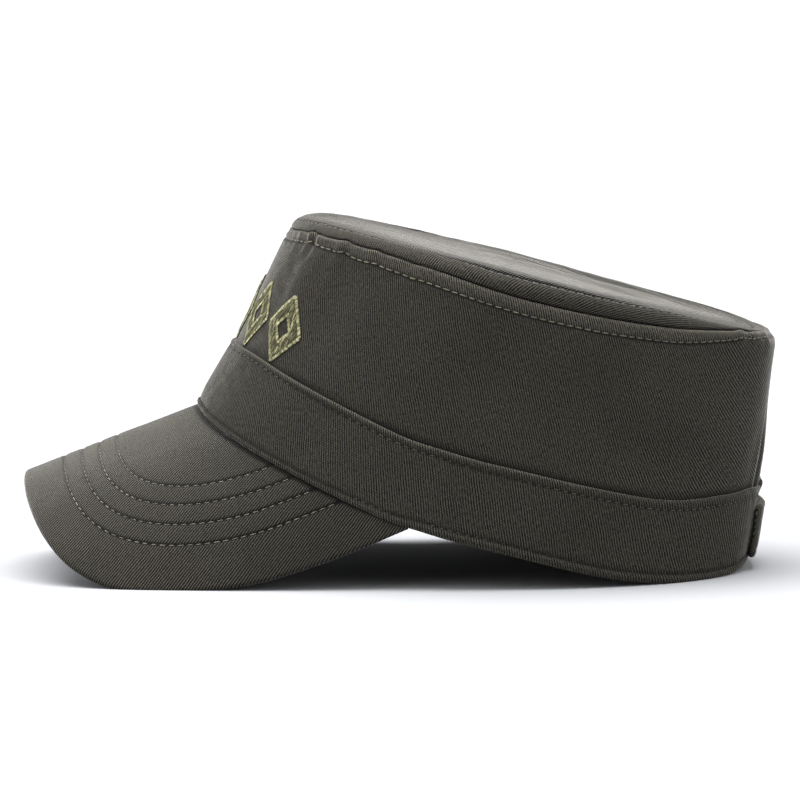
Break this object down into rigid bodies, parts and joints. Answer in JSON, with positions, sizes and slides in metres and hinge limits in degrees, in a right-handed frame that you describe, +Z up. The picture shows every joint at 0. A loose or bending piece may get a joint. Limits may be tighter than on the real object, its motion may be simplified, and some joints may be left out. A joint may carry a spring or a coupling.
{
  "type": "flat-top cap",
  "caption": "Soft cloth cap with a flat oval top that slopes to the rear, an outer band, a curved stitched peak and a rear adjuster strap.",
  "frame": {"origin": "middle of the cap's footprint on the surface it rests on", "axes": "+Z up, the peak points to -Y, +X is the wearer's left"},
  "size_m": [0.1578, 0.2772, 0.1297],
  "materials": {
    "crown_cloth": "grey-olive cotton twill, matt",
    "band_cloth": "grey-olive cotton twill, matt, folded edges",
    "peak_cloth": "grey-olive cotton twill over a stiff board",
    "strap_cloth": "grey-olive cotton twill, folded and stitched",
    "stitch_thread": "olive sewing thread, slight sheen",
    "motif_thread": "yellow-green metallic embroidery thread"
  },
  "bodies": {
    "root": {"crown_top": "crown_cloth", "crown_side": "crown_cloth", "band": "band_cloth", "peak": "peak_cloth", "adjuster_strap": "strap_cloth"}
  },
  "joints": []
}
